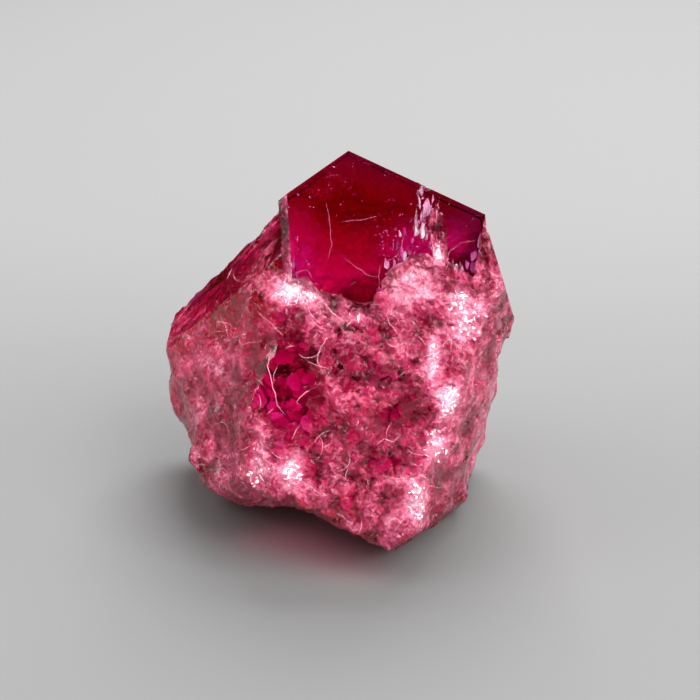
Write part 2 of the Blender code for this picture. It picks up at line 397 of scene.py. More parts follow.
def span(nodes, links, value, low, high, to_low=0.0, to_high=1.0, ease="LINEAR"):
    """Stretches low..high of a value to to_low..to_high."""
    stretch = nodes.new("ShaderNodeMapRange")
    stretch.interpolation_type = ease
    for name, number in zip(("From Min", "From Max", "To Min", "To Max"), (low, high, to_low, to_high)):
        stretch.inputs[name].default_value = number
    links.new(value, stretch.inputs["Value"])
    return stretch.outputs["Result"]


def bump(nodes, links, height, strength, millimetres):
    """Small relief in the light only, on the material's shader."""
    grain = nodes.new("ShaderNodeBump")
    grain.inputs["Strength"].default_value = strength
    grain.inputs["Distance"].default_value = millimetres * MM
    links.new(height, grain.inputs["Height"])
    links.new(grain.outputs["Normal"], nodes["Principled BSDF"].inputs["Normal"])


# %% Make the clear material
BERYL_INDEX = 1.57
COLOUR_KEPT = (0.950, 0.0, 0.685, 1.0)  # 1 keeps a colour and 0 takes it at the full rate
ABSORPTION_PER_METRE = 2200.0
DULL_SPOT_SIZE = 0.35
DULLEST_ON_END_FACE = 0.05


def add_absorption(nodes, links):
    """The same red inside every surface of the stone."""
    volume = nodes.new("ShaderNodeVolumeAbsorption")
    volume.inputs["Color"].default_value = COLOUR_KEPT
    volume.inputs["Density"].default_value = ABSORPTION_PER_METRE
    links.new(volume.outputs["Volume"], nodes["Material Output"].inputs["Volume"])


def clear_stone(name, dullest):
    """Clear beryl with faint dull spots, as rough as dullest where they are densest."""
    material, nodes, links = new_material(name)
    shader = nodes["Principled BSDF"]
    shader.inputs["Base Color"].default_value = (1.0, 0.97, 0.98, 1.0)
    shader.inputs["IOR"].default_value = BERYL_INDEX
    shader.inputs["Transmission Weight"].default_value = 1.0
    spots = noise_texture(nodes, links, texture_in_mm(nodes, links), DULL_SPOT_SIZE, 4.0)
    links.new(span(nodes, links, spots, 0.50, 0.75, 0.3 * dullest, dullest), shader.inputs["Roughness"])
    add_absorption(nodes, links)
    return material


clear_beryl = clear_stone("clear_beryl", DULLEST_ON_END_FACE)
per_mm = [round((1 - part) * ABSORPTION_PER_METRE * MM, 2) for part in COLOUR_KEPT[:3]]
print("clear beryl absorbs this much red, green and blue per mm:", per_mm)

# %% [markdown]
# ## The prism faces
#
# The six sides of a beryl column carry fine lines along its length, left by growth, so they are less
# glossy than the end. The lines are noise that is stretched along the crystal's axis. For that, the
# coordinates are first turned into the crystal's frame.

# %% Make the lined material of the prism faces
DULLEST_ON_PRISM = 0.12
LINE_SPACING = 0.05
LINE_STRETCH = 0.04
LINE_STRENGTH = 0.15
LINE_DEPTH = 0.004

prism_beryl = clear_stone("prism_beryl", DULLEST_ON_PRISM)
nodes, links = prism_beryl.node_tree.nodes, prism_beryl.node_tree.links
turn = nodes.new("ShaderNodeVectorRotate")
turn.rotation_type = "X_AXIS"
turn.inputs["Angle"].default_value = LEAN_BACK - math.radians(90.0)
links.new(texture_in_mm(nodes, links), turn.inputs["Vector"])
squeeze = nodes.new("ShaderNodeVectorMath")
squeeze.operation = "MULTIPLY"
squeeze.inputs[1].default_value = (1.0, 1.0, LINE_STRETCH)
links.new(turn.outputs["Vector"], squeeze.inputs[0])
lines = noise_texture(nodes, links, squeeze.outputs["Vector"], LINE_SPACING, 2.0)
bump(nodes, links, lines, LINE_STRENGTH, LINE_DEPTH)
print("prism lines in mm: %.2f across and %.2f along" % (LINE_SPACING, LINE_SPACING / LINE_STRETCH))

# %% [markdown]
# ## The broken skin
#
# Broken beryl is the same clear stone with a bruised skin. Most light still goes in, and the frosted spots
# throw part of it back: the material turns from transmission to a pink haze by the frost stored on the
# points, by soft clouds, and by a web of fine lines where a wandering noise crosses its middle value. The
# haze fades out completely in clear spots, because even a trace of it turns the red below into grey.

# %% Make the colour helpers
def combine(nodes, links, operation, first, second):
    """One Math node. Each side is a socket or a number."""
    math_node = nodes.new("ShaderNodeMath")
    math_node.operation = operation
    for socket, value in zip(math_node.inputs, (first, second)):
        if isinstance(value, float):
            socket.default_value = value
        else:
            links.new(value, socket)
    return math_node.outputs["Value"]


def crack_lines(nodes, links, place, size, width):
    """Thin lines where a wandering noise crosses its middle value."""
    wave = noise_texture(nodes, links, place, size, 3.0, 0.8)
    away = combine(nodes, links, "ABSOLUTE", combine(nodes, links, "SUBTRACT", wave, 0.5), 0.0)
    return span(nodes, links, away, 0.0, width, 1.0, 0.0)


def colour_ramp(nodes, links, value, shades):
    ramp = nodes.new("ShaderNodeValToRGB")
    while len(ramp.color_ramp.elements) < len(shades):
        ramp.color_ramp.elements.new(0.5)
    for stop, (position, shade) in zip(ramp.color_ramp.elements, shades):
        stop.position = position
        stop.color = (*shade, 1.0)
    links.new(value, ramp.inputs["Fac"])
    return ramp.outputs["Color"]


# %% Make the broken material
SHADES = [
    # frost, colour of the haze there
    (0.00, (1.00, 0.900, 0.930)),
    (0.40, (0.76, 0.045, 0.180)),
    (0.70, (0.80, 0.200, 0.330)),
    (1.00, (0.83, 0.560, 0.630)),
]
CLOUD_SIZE, WISP_SIZE = 0.60, 0.14
WIDE_WEB_SIZE, WIDE_WEB_LINE = 0.50, 0.010
FINE_WEB_SIZE, FINE_WEB_LINE = 0.23, 0.014
WEB_BRIGHTNESS = 0.16
HAZE_BEGINS = 0.32  # below this the skin is quite clear
GLOSSIEST, DULLEST = 0.05, 0.30
GRAIN_SIZE = 0.07
GRAIN_HEIGHT = 0.02

broken_beryl, nodes, links = new_material("broken_beryl")
shader = nodes["Principled BSDF"]
place = texture_in_mm(nodes, links)
frost = nodes.new("ShaderNodeAttribute")
frost.attribute_name = "frost"
clouds = noise_texture(nodes, links, place, CLOUD_SIZE, 5.0, 0.6)
clouds = span(nodes, links, clouds, 0.35, 0.65, -0.16, 0.16)
wisps = noise_texture(nodes, links, place, WISP_SIZE, 4.0, 1.2)
wisps = span(nodes, links, wisps, 0.35, 0.68, -0.10, 0.14)
wide_web = crack_lines(nodes, links, place, WIDE_WEB_SIZE, WIDE_WEB_LINE)
fine_web = crack_lines(nodes, links, place, FINE_WEB_SIZE, FINE_WEB_LINE)
web = combine(nodes, links, "MULTIPLY", combine(nodes, links, "MAXIMUM", wide_web, fine_web), WEB_BRIGHTNESS)
haze = frost.outputs["Fac"]
for layer in (clouds, wisps, web):
    haze = combine(nodes, links, "ADD", haze, layer)
links.new(colour_ramp(nodes, links, haze, SHADES), shader.inputs["Base Color"])
links.new(span(nodes, links, haze, HAZE_BEGINS, 1.0, 1.0, 0.0), shader.inputs["Transmission Weight"])
links.new(span(nodes, links, haze, 0.10, 1.0, GLOSSIEST, DULLEST), shader.inputs["Roughness"])
shader.inputs["IOR"].default_value = BERYL_INDEX
grain = noise_texture(nodes, links, place, GRAIN_SIZE, 4.0, 0.5)
grain_share = span(nodes, links, haze, 0.15, 0.45, 0.1, 1.0)
bump(nodes, links, combine(nodes, links, "MULTIPLY", grain, grain_share), 0.5, GRAIN_HEIGHT)
add_absorption(nodes, links)
print("broken beryl:", len(nodes), "nodes")

# %% [markdown]
# ## The stone becomes an object
#
# The mesh goes back into the room's frame. Broken stone is shaded smooth, but a fold that is too sharp keeps
# its edge, because fresh breaks glint on edges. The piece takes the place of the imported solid.

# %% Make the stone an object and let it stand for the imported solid
SHARPEST_SMOOTH_FOLD = math.radians(26.0)

bmesh.ops.transform(stone_mesh, matrix=to_room, verts=stone_mesh.verts)
for face in stone_mesh.faces:
    face.smooth = face.material_index == BROKEN
for edge in stone_mesh.edges:
    all_broken = all(face.material_index == BROKEN for face in edge.link_faces)
    edge.smooth = all_broken and edge.calc_face_angle(0.0) < SHARPEST_SMOOTH_FOLD
for vert in stone_mesh.verts:
    vert.co.z = max(vert.co.z, 0.0)


def put_in_scene(name, data, *materials):
    """An object for a finished mesh. It rides on the stone's body."""
    for material in materials:
        data.materials.append(material)
    piece = bpy.data.objects.new(name, data)
    bpy.context.scene.collection.objects.link(piece)
    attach(piece, "root")
    print(name + ":", len(data.polygons), "faces")
    return piece


stone_data = bpy.data.meshes.new("crystal")
stone_mesh.to_mesh(stone_data)
stone_mesh.free()
stone = put_in_scene("crystal", stone_data, broken_beryl, clear_beryl, prism_beryl)
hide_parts(STONE_NODE)

# %% [markdown]
# ## The clear window
#
# Behind the upper part of the end face the stone is clear, down to a cloudy veil. The veil lies near the
# face at the left and right, where the stone looks magenta, and deep in the middle and at the top, where it
# looks dark red. Both limits are short lists of numbers with a smooth shape between them.

# %% Say where the stone is clear
WINDOW_EDGE = [(-1.5, 3.1), (-1.35, 1.5), (-0.1, 0.72), (1.0, 1.1), (2.2, 1.3), (2.9, 1.2)]  # (x, y)
VEIL_DEPTH = 2.7
SHALLOWEST_VEIL = 0.50
VEIL_SLOPES = [
    # middle (x, y), reach (x, y), how much nearer to the end face
    ((-1.30, 2.20), (0.80, 0.95), 1.90),
    ((-0.90, 1.20), (0.60, 0.60), 0.90),
    ((0.10, 1.50), (0.55, 0.55), 0.60),
    ((1.00, 2.20), (0.60, 0.70), 1.10),
    ((2.20, 2.20), (0.80, 0.80), 1.45),
    ((1.20, 1.40), (0.60, 0.60), 0.80),
    ((-0.10, 3.30), (1.00, 0.90), -1.30),
]


def window_bottom(x):
    """How far down the clear window of the end face reaches at x."""
    for (left, low), (right, high) in zip(WINDOW_EDGE, WINDOW_EDGE[1:]):
        if left <= x <= right:
            return low + (high - low) * (x - left) / (right - left)
    return math.inf


def veil_depth(x, y):
    depth = VEIL_DEPTH
    for middle, reach, nearer in VEIL_SLOPES:
        depth -= nearer * hill(x, y, middle, reach)
    return max(SHALLOWEST_VEIL, depth)


depths = veil_depth(-1.1, 2.3), veil_depth(0.2, 2.2), veil_depth(2.2, 2.2)
print("veil depth at the left, in the middle and at the right: %.1f, %.1f and %.1f mm" % depths)

# %% [markdown]
# ## The cracks inside
#
# What makes a bruised crystal pink is inside it: thousands of small curved cracks, each one throwing light
# back through the stone above it. Noise on the surface alone can't show that depth, so they are real sheets.
# Each is a small square grid, pushed into a disc, cupped, and made ragged. Places are drawn at random and
# kept where the stone is cracked: from just under the skin where it is frosted, and deeper where it is
# clear. Behind the clear window there are none: from the sides and from behind they would show there as
# loose flakes. A sheet that would poke out is stopped just under the skin.

# %% Draw the shape of one crack
CRACK_CELLS = 2
CRACK_ROW = CRACK_CELLS + 1
CRACK_FACES = [
    (corner, corner + 1, corner + CRACK_ROW + 1, corner + CRACK_ROW)
    for corner in range(CRACK_ROW * CRACK_CELLS)
    if corner % CRACK_ROW < CRACK_CELLS
]
RAGGED_RIM = 0.8
CREASES = 0.25
FULL_TURN = 2.0 * math.pi


def any_way_round(dice):
    """A random turn in space."""
    first = Matrix.Rotation(dice.uniform(0, FULL_TURN), 3, "Z")
    tilt = Matrix.Rotation(math.acos(dice.uniform(-1, 1)), 3, "X")
    return first @ tilt @ Matrix.Rotation(dice.uniform(0, FULL_TURN), 3, "Z")


def crack_points(dice, centre, size):
    """The points of one small cupped sheet. The square (u, v) becomes a disc (x, y) with a ragged rim."""
    turn, cup, length = any_way_round(dice), dice.uniform(-0.5, 0.5), dice.uniform(0.6, 1.6)
    points = []
    for number in range(CRACK_ROW**2):
        u = 2.0 * (number % CRACK_ROW) / CRACK_CELLS - 1.0
        v = 2.0 * (number // CRACK_ROW) / CRACK_CELLS - 1.0
        x, y = u * math.sqrt(1.0 - v * v / 2.0), v * math.sqrt(1.0 - u * u / 2.0)
        point = Vector((x * length, y, cup * (x * x + y * y)))
        point *= 1.0 + RAGGED_RIM * noise.noise(point * 3.0 + centre * 7.0)
        point.z += CREASES * noise.noise(point * 2.0 + centre * 5.0)
        points.append(centre + turn @ point * size)
    return points


print("one crack has", len(CRACK_FACES), "faces")

# %% [markdown]
# Two questions come up again and again: is a place inside the stone, and how far can a point move before it
# meets the skin? Both are answered by rays against the finished skin, which is held in a search tree.

# %% Keep places and points inside the stone
SKIN_MARGIN = 0.012
PAST_THE_SKIN = 0.001


def is_inside(point):
    """A ray that starts inside a closed skin crosses it an odd number of times."""
    upwards = Vector((0, 1, 0))
    crossings = 0
    hit = skin.ray_cast(point, upwards)[0]
    while hit:
        crossings += 1
        hit = skin.ray_cast(hit + upwards * PAST_THE_SKIN, upwards)[0]
    return crossings % 2 == 1


def stopped_by_skin(centre, point):
    """The point, or the last place inside the stone on the way to it from the centre."""
    way = point - centre
    distance = skin.ray_cast(centre, way.normalized(), way.length + SKIN_MARGIN)[3]
    return point if distance is None else centre + way.normalized() * max(0.0, distance - SKIN_MARGIN)


deep, far_off = Vector((0, 0, -3)), Vector((9, 0, 0))
print("is a deep place inside, and a far one:", is_inside(deep), "and", is_inside(far_off))

# %% Scatter the cracks
CRACK_TRIES = 60000
CRACK_SIZES = (0.04, 0.12)
CRACK_GROWTH = 0.05  # wider by this for each millimetre down
DEEPEST_CRACK = 2.2
DEPTH_WHERE_CLEAR = 1.5
FROST_LIFTS_CRACKS = 2.5  # the power by which the first cracks come up as frost grows
EMPTY_BEHIND_VEIL = 3.0
WINDOW_WIDENS = 0.35  # per millimetre down, for the first millimetre
WINDOW_UNREST = 0.45
WINDOW_CLOUD_WIDTH = 0.4
SCATTER_LOW = Vector((-4.2, -4.6, -9.5))  # a box round the whole stone
SCATTER_HIGH = Vector((3.8, 4.0, 0.0))
CRACK_SEED = 11


def is_cracked(place, skin_place, depth):
    """Not in the clear window or behind it, and deep enough for the frost of the skin above."""
    window = window_bottom(place.x) - WINDOW_WIDENS * min(1.0, -place.z)
    window += WINDOW_UNREST * rough_noise(place, WINDOW_CLOUD_WIDTH)
    if place.y > window and -place.z < veil_depth(place.x, place.y) + EMPTY_BEHIND_VEIL:
        return False
    return depth > DEPTH_WHERE_CLEAR * (1.0 - frost_at(skin_place)) ** FROST_LIFTS_CRACKS


dice = random.Random(CRACK_SEED)
crack_verts, crack_faces = [], []
for _ in range(CRACK_TRIES):
    centre = Vector([dice.uniform(low, high) for low, high in zip(SCATTER_LOW, SCATTER_HIGH)])
    nearest, normal, _, depth = skin.find_nearest(centre)
    if (centre - nearest).dot(normal) > 0 or depth > DEEPEST_CRACK or not is_inside(centre):
        continue
    if is_cracked(centre, nearest, depth):
        first = len(crack_verts)
        size = dice.uniform(*CRACK_SIZES) + CRACK_GROWTH * depth
        crack_verts += [stopped_by_skin(centre, point) for point in crack_points(dice, centre, size)]
        crack_faces += [[first + corner for corner in face] for face in CRACK_FACES]
print("cracks:", len(crack_faces) // len(CRACK_FACES))

# %% [markdown]
# The clear window isn't perfect either. Splinters lie just under the end face along the step between its two
# parts and at its corners, and a few healed cracks cross it as faint trails of dust: tiny sheets kept only
# where a slow noise crosses its middle value, which is along thin wandering surfaces.

# %% Add splinters and healed cracks to the clear window
SPLINTER_PATCHES = [
    # middle (x, y), reach (x, y), deepest, number
    ((1.40, 2.95), (0.05, 0.30), 0.12, 10),
    ((1.62, 2.55), (0.13, 0.28), 0.16, 34),
    ((1.35, 2.35), (0.06, 0.15), 0.12, 8),
    ((1.02, 2.00), (0.16, 0.22), 0.60, 30),
    ((2.52, 1.85), (0.08, 0.28), 0.40, 10),
    ((-1.16, 1.90), (0.10, 0.55), 0.60, 16),
    ((-1.20, 1.30), (0.14, 0.14), 0.40, 30),
    ((2.20, 1.50), (0.22, 0.12), 0.60, 50),
]
SPLINTER_SIZES = (0.015, 0.095)
SPLINTER_LENGTHENING = Vector((0.6, 1.8, 1.0))  # long along the face, from top to bottom
TRAIL_TRIES = 30000
TRAIL_LOW = Vector((-1.4, 0.7, -1.6))
TRAIL_HIGH = Vector((2.8, 3.8, -0.15))
TRAIL_WIDTH = 1.1
TRAIL_THICKNESS = 0.010
DUST_SIZES = (0.008, 0.022)
AS_IT_IS = Vector((1, 1, 1))
WINDOW_SEED = 29


def add_crack(dice, centre, size, stretch):
    """One more sheet in the lists of points and faces."""
    first = len(crack_verts)
    for point in crack_points(dice, centre, size):
        reach = Vector([away * times for away, times in zip(point - centre, stretch)])
        crack_verts.append(stopped_by_skin(centre, centre + reach))
    crack_faces.extend([first + corner for corner in face] for face in CRACK_FACES)


dice = random.Random(WINDOW_SEED)
for (x, y), (reach_x, reach_y), deepest, number in SPLINTER_PATCHES:
    for _ in range(number):
        centre = Vector((dice.gauss(x, reach_x), dice.gauss(y, reach_y), -dice.uniform(0.02, deepest)))
        if is_inside(centre):
            add_crack(dice, centre, dice.uniform(*SPLINTER_SIZES), SPLINTER_LENGTHENING)
for _ in range(TRAIL_TRIES):
    centre = Vector([dice.uniform(low, high) for low, high in zip(TRAIL_LOW, TRAIL_HIGH)])
    if abs(noise.noise(centre / TRAIL_WIDTH)) < TRAIL_THICKNESS and is_inside(centre):
        add_crack(dice, centre, dice.uniform(*DUST_SIZES), AS_IT_IS)
print("with splinters and healed cracks:", len(crack_faces) // len(CRACK_FACES))

# %% [markdown]
# ## The veil
#
# The veil closes the clear window at the back. It is one wavy sheet, cut to the six sides of the clear
# crystal: a grid is trimmed by each side's plane, and then each point sinks to its depth, but no deeper
# than just inside the stone's back. That limit is eased from point to point, so that a ledge in the back
# leaves no jagged step in the veil. The veil joins the cracks in one piece, because in the stone it is
# only the largest of them.

# %% Cut a grid to the shape of the clear crystal
VEIL_STEP = 0.05
VEIL_HALF_WIDTH = 3.0
VEIL_MIDDLE = Vector((0.8, 1.8, 0.0))
VEIL_MARGIN = 0.02
CLEAR_SIDES = [side_direction(5.0 + 60.0 * number) for number in range(6)]
CLEAR_DISTANCES = (2.93, 3.60, 3.285, 1.17, 1.60, 2.60)  # of the six sides from the axis

veil_mesh = bmesh.new()
cells = round(2.0 * VEIL_HALF_WIDTH / VEIL_STEP)
bmesh.ops.create_grid(veil_mesh, x_segments=cells, y_segments=cells, size=VEIL_HALF_WIDTH)
bmesh.ops.translate(veil_mesh, vec=VEIL_MIDDLE, verts=veil_mesh.verts)
for direction, distance in zip(CLEAR_SIDES, CLEAR_DISTANCES):
    everything = veil_mesh.verts[:] + veil_mesh.edges[:] + veil_mesh.faces[:]
    edge_place = direction * (distance - VEIL_MARGIN)
    bmesh.ops.bisect_plane(
        veil_mesh, geom=everything, plane_co=edge_place, plane_no=direction, clear_outer=True
    )
print("points of the flat veil:", len(veil_mesh.verts))

# %% Sink the veil's points and join it to the cracks
VEIL_WAVES = 0.22
VEIL_WAVE_WIDTH = 0.5
VEIL_TO_FRONT = 0.15
VEIL_TO_BACK = 0.25
STEEPEST_LIMIT = 0.25  # millimetres from one point of the grid to the next
LIMIT_ROUNDS = 8
GRAZING = 0.2  # a side wall's normal has less than this along the ray
INWARDS = Vector((0, 0, -1))


def back_of_stone(front):
    """Where a ray inwards leaves the stone. Side walls that it only grazes don't count."""
    hit, normal, _, _ = skin.ray_cast(front + INWARDS * PAST_THE_SKIN, INWARDS)
    while hit and normal.z > -GRAZING:
        hit, normal, _, _ = skin.ray_cast(hit + INWARDS * PAST_THE_SKIN, INWARDS)
    return hit


limits, too_thin = {}, []
for vert in veil_mesh.verts:
    front = skin.ray_cast(vert.co - INWARDS, INWARDS)[0]
    back = front and back_of_stone(front)
    if back is None or front.z - back.z < VEIL_TO_FRONT + VEIL_TO_BACK:
        too_thin.append(vert)
    else:
        limits[vert] = [back.z + VEIL_TO_BACK, front.z - VEIL_TO_FRONT]
for _ in range(LIMIT_ROUNDS):
    for edge in veil_mesh.edges:
        if edge.verts[0] in limits and edge.verts[1] in limits:
            one, other = limits[edge.verts[0]], limits[edge.verts[1]]
            one[0] = max(one[0], other[0] - STEEPEST_LIMIT)
            other[0] = max(other[0], one[0] - STEEPEST_LIMIT)
for vert, (lowest, highest) in limits.items():
    waves = VEIL_WAVES * rough_noise(Vector((vert.co.x, vert.co.y, 4.2)), VEIL_WAVE_WIDTH, 5)
    depth = max(SHALLOWEST_VEIL, veil_depth(vert.co.x, vert.co.y) + waves)
    vert.co.z = min(max(-depth, lowest), highest)
bmesh.ops.delete(veil_mesh, geom=too_thin, context="VERTS")
veil_mesh.verts.index_update()
first, first_veil_face = len(crack_verts), len(crack_faces)
crack_verts += [vert.co.copy() for vert in veil_mesh.verts]
crack_faces += [[first + vert.index for vert in face.verts] for face in veil_mesh.faces]
print("veil:", len(veil_mesh.faces), "faces")
veil_mesh.free()

# %% [markdown]
# A crack is neither a pigment nor a mirror: it is a thin film of air that looks silvery white. So its
# material is nearly white and half dull, with soft clouds. Where the veil comes near the skin, at its rim,
# little red stone lies before it and a white rim would shine out, so its colour is painted a deeper pink
# there, a painted shade that dims the rim. Hair cracks and crumbs, below, use the same recipe with other
# shades.

# %% Paint the cracks and make them a piece
def cloudy_material(name, dark, pale, cloud_size, roughness, painted_shade_by=None):
    """A pale material whose colour and gloss change from spot to spot, with fine grain."""
    material, nodes, links = new_material(name)
    shader = nodes["Principled BSDF"]
    shader.inputs["IOR"].default_value = BERYL_INDEX
    place = texture_in_mm(nodes, links)
    cloud = noise_texture(nodes, links, place, cloud_size, 4.0, 0.5)
    # Painted shade: the colour deepens where the stored distance to the skin is small, and pales a little
    # deep down.
    if painted_shade_by:
        stored = nodes.new("ShaderNodeAttribute")
        stored.attribute_name = painted_shade_by
        painted_rim_shade = span(nodes, links, stored.outputs["Fac"], 0.1, 0.6, -0.25, 0.12)
        cloud = combine(nodes, links, "ADD", cloud, painted_rim_shade)
    links.new(colour_ramp(nodes, links, cloud, [(0.38, dark), (0.60, pale)]), shader.inputs["Base Color"])
    gloss = span(nodes, links, cloud, 0.35, 0.65, 0.7 * roughness, 1.3 * roughness)
    links.new(gloss, shader.inputs["Roughness"])
    bump(nodes, links, noise_texture(nodes, links, place, 0.3 * cloud_size, 3.0), 0.4, 0.1 * cloud_size)
    return material


def piece_from_lists(name, verts, faces, *materials):
    """A piece from points in the crystal's frame."""
    data = bpy.data.meshes.new(name)
    data.from_pydata([to_room @ vert for vert in verts], [], faces)
    return put_in_scene(name, data, *materials)


crack_film = cloudy_material(
    "crack_film", dark=(0.88, 0.62, 0.70), pale=(0.94, 0.84, 0.88), cloud_size=0.30, roughness=0.45
)
veil_film = cloudy_material(
    "veil_film", (0.92, 0.34, 0.50), (1.0, 0.98, 0.99), cloud_size=0.30, roughness=0.60, painted_shade_by="under_skin"
)
cracks = piece_from_lists("inner_cracks", crack_verts, crack_faces, crack_film, veil_film)
cracks.data.shade_smooth()
under_skin = cracks.data.attributes.new("under_skin", "FLOAT", "POINT")
under_skin.data.foreach_set("value", [skin.find_nearest(vert)[3] for vert in crack_verts])
for polygon in cracks.data.polygons[first_veil_face:]:
    polygon.material_index = 1

# %% [markdown]
# ## Hair cracks
#
# Where a crack meets the skin it shows as a line as thin as a hair, often a curve or part of a ring. Each
# line is a very thin tube on a curve that is laid on the stone, thinner at both ends. The large ones are
# listed one by one, and short ones are scattered in front. In the clear window they lie a little way inside.

# %% Route the hair cracks
HAIR_STEP = 0.05
HAIR_TREMBLE = 0.03
TREMBLE_WIDTH = 0.15
LONG_HAIRS = [
    # points (x, y) on the front of the stone
    [(0.62, 1.74), (0.588, 1.66), (0.58, 1.30), (0.60, 0.94), (0.64, 0.88)],
    [(-0.08, 1.82), (0.10, 1.68), (0.34, 1.50), (0.58, 1.46)],
    [(-0.18, 2.56), (0.06, 2.58), (0.30, 2.62), (0.54, 2.68)],
    [(-1.12, 1.56), (-0.84, 1.58), (-0.76, 1.44)],
    [(-0.86, 0.94), (-0.78, 0.70), (-0.54, 0.46)],
    [(-0.62, 1.02), (-0.38, 0.78), (-0.10, 0.54)],
    [(0.36, 0.48), (0.22, 0.62), (0.06, 0.58), (-0.18, 0.38), (-0.50, 0.20), (-0.62, -0.04), (-0.64, -0.24),
     (-0.56, -0.48)],
    [(-0.50, -0.72), (-0.64, -0.70), (-1.00, -0.94), (-1.06, -1.04), (-1.02, -1.10)],
    [(0.00, 0.20), (0.10, -0.10), (0.00, -0.30)],
    [(-1.60, 0.02), (-1.66, -0.30), (-1.56, -0.70), (-1.46, -1.10), (-1.30, -1.30)],
    [(0.55, -1.90), (0.70, -1.80), (0.86, -1.84), (1.02, -1.72)],
    [(-0.46, 2.95), (-0.40, 2.50), (-0.36, 2.10), (-0.44, 1.80)],
    [(0.90, 2.46), (1.08, 2.22), (0.96, 1.92), (0.70, 1.72)],
    [(1.80, 3.00), (1.72, 2.72), (1.74, 2.50)],
    [(1.92, 1.60), (2.00, 1.98), (2.26, 2.14), (2.52, 2.20)],
]
SHORT_HAIRS = 90
SHORT_HAIR_X, SHORT_HAIR_Y = (-2.9, 2.9), (-3.7, 1.6)
SHORT_HAIR_STEPS = (4, 13)
BEND, WANDER = 0.14, 0.15  # radians a step
HAIR_SEED = 5


def fine_route(points):
    """The listed points, joined by short steps that tremble a little."""
    route = []
    for (x0, y0), (x1, y1) in zip(points, points[1:]):
        steps = max(1, round(math.hypot(x1 - x0, y1 - y0) / HAIR_STEP))
        for step in range(steps):
            x, y = x0 + (x1 - x0) * step / steps, y0 + (y1 - y0) * step / steps
            tremble = [noise.noise(Vector((x, y, layer)) / TREMBLE_WIDTH) for layer in (0.5, 1.1)]
            route.append((x + HAIR_TREMBLE * tremble[0], y + HAIR_TREMBLE * tremble[1]))
    return route + [points[-1]]


def short_route(dice):
    """A short arc somewhere in front."""
    x, y = dice.uniform(*SHORT_HAIR_X), dice.uniform(*SHORT_HAIR_Y)
    heading, bend = dice.uniform(0, FULL_TURN), dice.gauss(0, BEND)
    route = []
    for _ in range(dice.randint(*SHORT_HAIR_STEPS)):
        route.append((x, y))
        x += HAIR_STEP * math.cos(heading)
        y += HAIR_STEP * math.sin(heading)
        heading += bend + dice.gauss(0, WANDER)
    return route


dice = random.Random(HAIR_SEED)
routes = [fine_route(points) for points in LONG_HAIRS] + [short_route(dice) for _ in range(SHORT_HAIRS)]
print("routes:", len(routes))

# %% Lay the hair cracks on the skin
HAIR_RADIUS = 0.0055
SHORT_HAIR_SHARE = 0.65  # of the long ones' radius
ABOVE_SKIN = 0.002
UNDER_CLEAR_FACE = 0.10
BEFORE_THE_STONE = 2.0
FARTHEST_FRONT = -4.5
STEEPEST_FRONT = 0.15
END_FACE_LEVEL = -0.001
THINNEST_END = 0.35  # of the radius in the middle


def front_skin(x, y):
    """The place and the normal of the stone's front behind (x, y), or two Nones."""
    spot, normal, _, _ = skin.ray_cast(Vector((x, y, BEFORE_THE_STONE)), INWARDS)
    if spot is None or spot.z < FARTHEST_FRONT or normal.z < STEEPEST_FRONT:
        return None, None
    return spot, normal


def hair_point(x, y):
    """Just above broken stone, or a little way inside the clear window."""
    spot, normal = front_skin(x, y)
    if spot is None:
        return None
    return spot + normal * (-UNDER_CLEAR_FACE if spot.z > END_FACE_LEVEL else ABOVE_SKIN)


hair_curve = bpy.data.curves.new("hair_guide", "CURVE")
hair_curve.dimensions = "3D"
hair_curve.bevel_depth = HAIR_RADIUS * MM
hair_curve.bevel_resolution = 1
for number, route in enumerate(routes):
    places = [hair_point(x, y) for x, y in route]
    if None in places:
        continue
    thickness = 1.0 if number < len(LONG_HAIRS) else SHORT_HAIR_SHARE
    spline = hair_curve.splines.new("POLY")
    spline.points.add(len(places) - 1)
    for index, (point, spot) in enumerate(zip(spline.points, places)):
        point.co = (*(to_room @ spot), 1.0)
        swell = math.sin(math.pi * index / (len(places) - 1))
        point.radius = thickness * (THINNEST_END + (1.0 - THINNEST_END) * swell)
hair_guide = bpy.data.objects.new("hair_guide", hair_curve)
hair_data = bpy.data.meshes.new_from_object(hair_guide)
bpy.data.objects.remove(hair_guide)
hair_film = cloudy_material(
    "hair_film", dark=(0.86, 0.26, 0.42), pale=(1.0, 0.58, 0.70), cloud_size=0.15, roughness=0.25
)
put_in_scene("hair_cracks", hair_data, hair_film)

# %% [markdown]
# ## Crumbs
#
# The whitest places are crumbled: small angular chips of stone sit half sunk in the skin. Each chip is the
# convex hull of a few random corners, drawn out along one direction. All of them are one mesh.

# %% Press crumbs into the frosted places
CRUMB_TRIES = 9000
CRUMB_SIZES = (0.022, 0.070)
CRUMB_CORNERS = 6
CORNER_REACH = (0.6, 1.2)  # of the crumb's size
CRUMB_LENGTHENING = 0.7
CRUMB_SUNK = 0.3  # of its size
CRUMB_X, CRUMB_Y = (-3.6, 3.3), (-3.8, 2.8)
FROST_FOR_CRUMBS = 0.66
FROST_CHANCE = 0.05
CRUMB_SEED = 23


def crumb_hull(dice, centre, size):
    """A closed chip in a mesh of its own."""
    crumb = bmesh.new()
    longest = any_way_round(dice) @ Vector((1, 0, 0))
    for _ in range(CRUMB_CORNERS):
        corner = any_way_round(dice) @ Vector((size * dice.uniform(*CORNER_REACH), 0, 0))
        crumb.verts.new(centre + corner + longest * CRUMB_LENGTHENING * corner.dot(longest))
    bmesh.ops.convex_hull(crumb, input=crumb.verts[:])
    loose = [vert for vert in crumb.verts if not vert.link_faces]
    bmesh.ops.delete(crumb, geom=loose, context="VERTS")
    crumb.verts.index_update()
    return crumb


